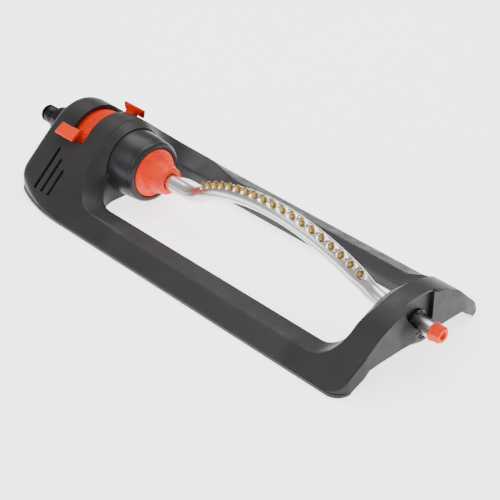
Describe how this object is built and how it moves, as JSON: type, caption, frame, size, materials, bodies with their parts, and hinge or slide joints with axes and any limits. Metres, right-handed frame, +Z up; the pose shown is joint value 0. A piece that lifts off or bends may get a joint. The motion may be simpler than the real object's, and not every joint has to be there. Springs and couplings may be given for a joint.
{
  "type": "oscillating lawn sprinkler",
  "caption": "Oscillating sprinkler: bowed spray tube with a row of nozzles, rocked by a water motor with range rings, on an open ground frame.",
  "frame": {"origin": "on the ground, on the centre plane of the base frame, midway along the frame", "axes": "+X from the hose connector to the end plug along the spray tube's turning axis, +Z up, +Y across to the side away from the drain slots"},
  "size_m": [0.4873, 0.1692, 0.0828],
  "materials": {
    "frame_plastic": "anthracite moulded plastic with a fine matt grain",
    "housing_plastic": "dark grey moulded plastic, satin",
    "black_plastic": "black moulded plastic",
    "orange_plastic": "orange moulded plastic, half gloss",
    "tube_aluminium": "satin drawn tube",
    "nozzle_brass": "turned brass",
    "inner_plastic": "natural acetal",
    "seal_rubber": "black sealing rubber",
    "screw_steel": "stainless steel"
  },
  "bodies": {
    "base": {"base_frame": "frame_plastic", "motor_housing": "housing_plastic", "motor_cap": "housing_plastic", "rear_cover": "housing_plastic", "cover_screws": "screw_steel", "hose_connector": "black_plastic", "connector_seal": "seal_rubber", "inlet_filter": "inner_plastic", "housing_latch": "black_plastic", "jet_plate": "inner_plastic", "flap_pin": "screw_steel", "gear_plate_rear": "inner_plastic", "gear_plate_front": "inner_plastic", "layshaft_axle": "screw_steel", "shaft_seal": "seal_rubber", "end_bearing": "black_plastic"},
    "tube": {"spray_tube": "tube_aluminium", "spray_nozzles": "nozzle_brass", "tube_collar": "orange_plastic", "tube_seal": "seal_rubber", "output_shaft": "inner_plastic", "output_gear": "inner_plastic", "trip_arm": "inner_plastic"},
    "turbine": {"turbine_wheel": "inner_plastic", "turbine_shaft": "screw_steel"},
    "layshaft": {"layshaft_gear": "inner_plastic"},
    "ring_near": {"range_ring_near": "orange_plastic"},
    "ring_far": {"range_ring_far": "orange_plastic"},
    "flap": {"reversing_flap": "inner_plastic"},
    "plug": {"end_plug": "orange_plastic", "plug_seal": "seal_rubber", "cleaning_pin": "screw_steel"}
  },
  "joints": [
    {"name": "tube_swing", "type": "hinge", "parent": "base", "child": "tube", "pos_m": [0, 0, 0.0322], "axis": [1, 0, 0], "range_deg": [-59.5, 30.5]},
    {"name": "layshaft_spin", "type": "hinge", "parent": "base", "child": "layshaft", "pos_m": [0, 0, 0.0202], "axis": [1, 0, 0], "range_deg": [-61, 119]},
    {"name": "turbine_spin", "type": "hinge", "parent": "base", "child": "turbine", "pos_m": [0, 0, 0.0322], "axis": [1, 0, 0], "range_deg": [-238, 122]},
    {"name": "ring_near_turn", "type": "hinge", "parent": "base", "child": "ring_near", "pos_m": [0, 0, 0.0322], "axis": [1, 0, 0], "range_deg": [-40, 4]},
    {"name": "ring_far_turn", "type": "hinge", "parent": "base", "child": "ring_far", "pos_m": [0, 0, 0.0322], "axis": [1, 0, 0], "range_deg": [-5, 38]},
    {"name": "flap_rock", "type": "hinge", "parent": "base", "child": "flap", "pos_m": [0, 0, 0.0497], "axis": [1, 0, 0], "range_deg": [-12, 12]},
    {"name": "plug_pull", "type": "slide", "parent": "tube", "child": "plug", "axis": [1, 0, 0], "range_m": [0, 0.03]}
  ],
  "couplings": [
    {"joint": "layshaft_spin", "follows": "tube_swing", "ratio": -2},
    {"joint": "turbine_spin", "follows": "tube_swing", "ratio": 4}
  ]
}
